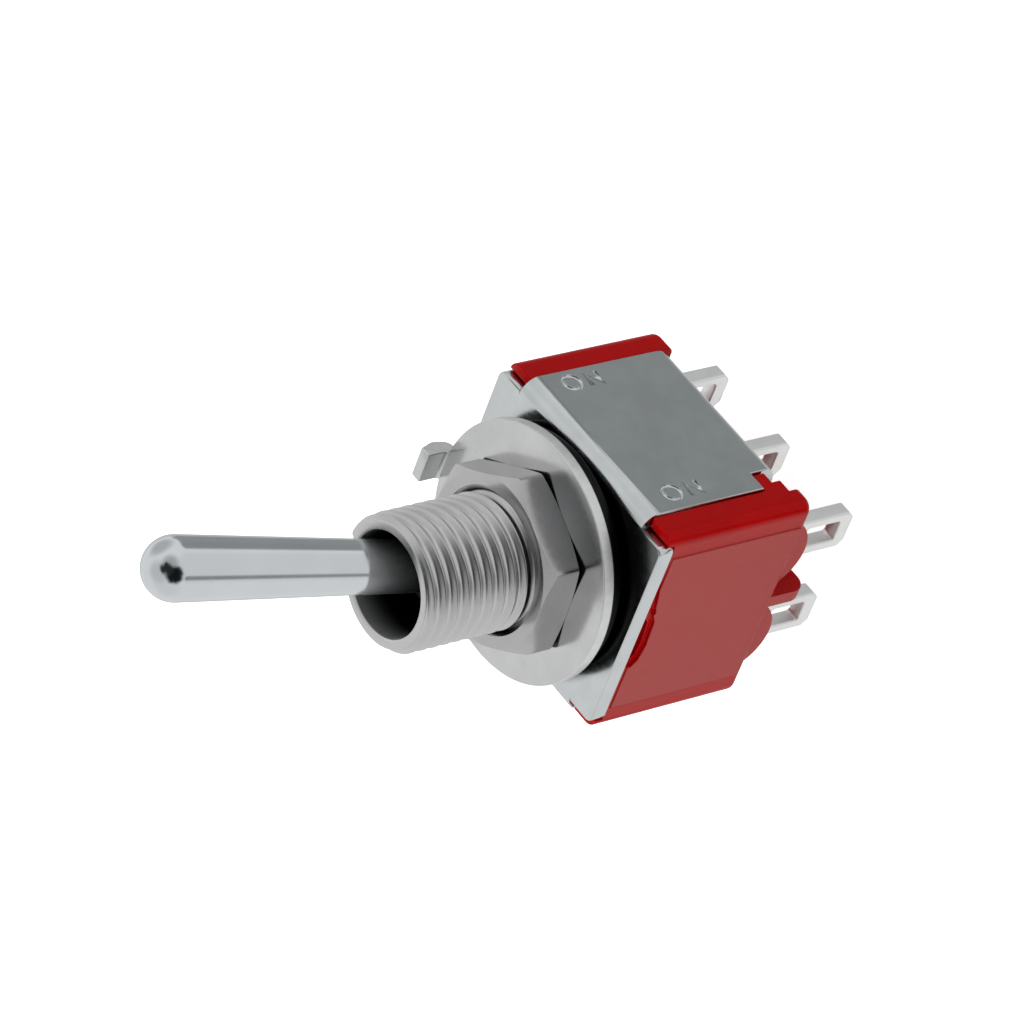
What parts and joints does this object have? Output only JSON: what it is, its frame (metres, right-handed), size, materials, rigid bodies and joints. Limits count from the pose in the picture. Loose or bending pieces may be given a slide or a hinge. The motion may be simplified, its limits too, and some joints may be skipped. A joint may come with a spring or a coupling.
{
  "type": "panel toggle switch",
  "caption": "Panel-mount toggle switch: moulded case in a folded steel frame, threaded bushing with nut, locating ring and lock washer, bat lever, changeover contacts, solder terminals",
  "frame": {"origin": "on the bushing axis, at the outer face of the frame's front plate", "axes": "+Z out of the panel along the bushing, +X along the rows of three terminals, +Y across the two rows; at rest the lever leans towards -X"},
  "size_m": [0.0131, 0.012, 0.0321],
  "materials": {
    "case_plastic": "moulded thermoset, satin with a chipped edge",
    "frame_steel": "nickel-plated sheet, rolled finish",
    "bushing_plating": "turned and threaded, nickel-plated",
    "nut_plating": "bright nickel",
    "ring_steel": "satin nickel, rolled face and sheared rim",
    "washer_steel": "plated spring steel",
    "lever_chrome": "polished",
    "pin_steel": "ground",
    "carrier_nylon": "moulded natural nylon",
    "plunger_plastic": "moulded acetal",
    "spring_wire": "drawn wire",
    "rocker_copper": "copper alloy strip",
    "terminal_plating": "silver-plated",
    "contact_silver": "fine silver, headed"
  },
  "bodies": {
    "switch": {"case": "case_plastic", "frame": "frame_steel", "bushing": "bushing_plating", "hex_nut": "nut_plating", "locating_ring": "ring_steel", "lock_washer": "washer_steel", "terminal_1": "terminal_plating", "terminal_2": "terminal_plating", "terminal_3": "terminal_plating", "terminal_4": "terminal_plating", "terminal_5": "terminal_plating", "terminal_6": "terminal_plating", "fixed_contact_1": "contact_silver", "fixed_contact_2": "contact_silver", "fixed_contact_3": "contact_silver", "fixed_contact_4": "contact_silver"},
    "lever_set": {"lever": "lever_chrome", "pivot_pin": "pin_steel", "plunger_carrier": "carrier_nylon", "plunger_spring_1": "spring_wire", "plunger_spring_2": "spring_wire"},
    "plunger_a": {"plunger_1": "plunger_plastic"},
    "plunger_b": {"plunger_2": "plunger_plastic"},
    "rocker_a": {"contact_rocker_1": "rocker_copper"},
    "rocker_b": {"contact_rocker_2": "rocker_copper"}
  },
  "joints": [
    {"name": "lever_tilt", "type": "hinge", "parent": "switch", "child": "lever_set", "pos_m": [0, 0, 0.0046], "axis": [0, 1, 0], "range_deg": [0, 31]},
    {"name": "plunger_a_slide", "type": "slide", "parent": "lever_set", "child": "plunger_a", "axis": [-0.2672, 0, 0.9636], "range_m": [0, 0.0003], "stiffness_N_per_m": 250, "springref_m": -0.0002, "deforming": ["plunger_spring_1"]},
    {"name": "rocker_a_tilt", "type": "hinge", "parent": "switch", "child": "rocker_a", "pos_m": [0, 0.00246, -0.0056], "axis": [0, 1, 0], "range_deg": [-10, 0]},
    {"name": "plunger_b_slide", "type": "slide", "parent": "lever_set", "child": "plunger_b", "axis": [-0.2672, 0, 0.9636], "range_m": [0, 0.0003], "stiffness_N_per_m": 250, "springref_m": -0.0002, "deforming": ["plunger_spring_2"]},
    {"name": "rocker_b_tilt", "type": "hinge", "parent": "switch", "child": "rocker_b", "pos_m": [0, -0.00246, -0.0056], "axis": [0, 1, 0], "range_deg": [-10, 0]}
  ],
  "couplings": [
    {"joint": "rocker_a_tilt", "follows": "lever_tilt", "ratio": -0.32258},
    {"joint": "rocker_b_tilt", "follows": "lever_tilt", "ratio": -0.32258}
  ]
}
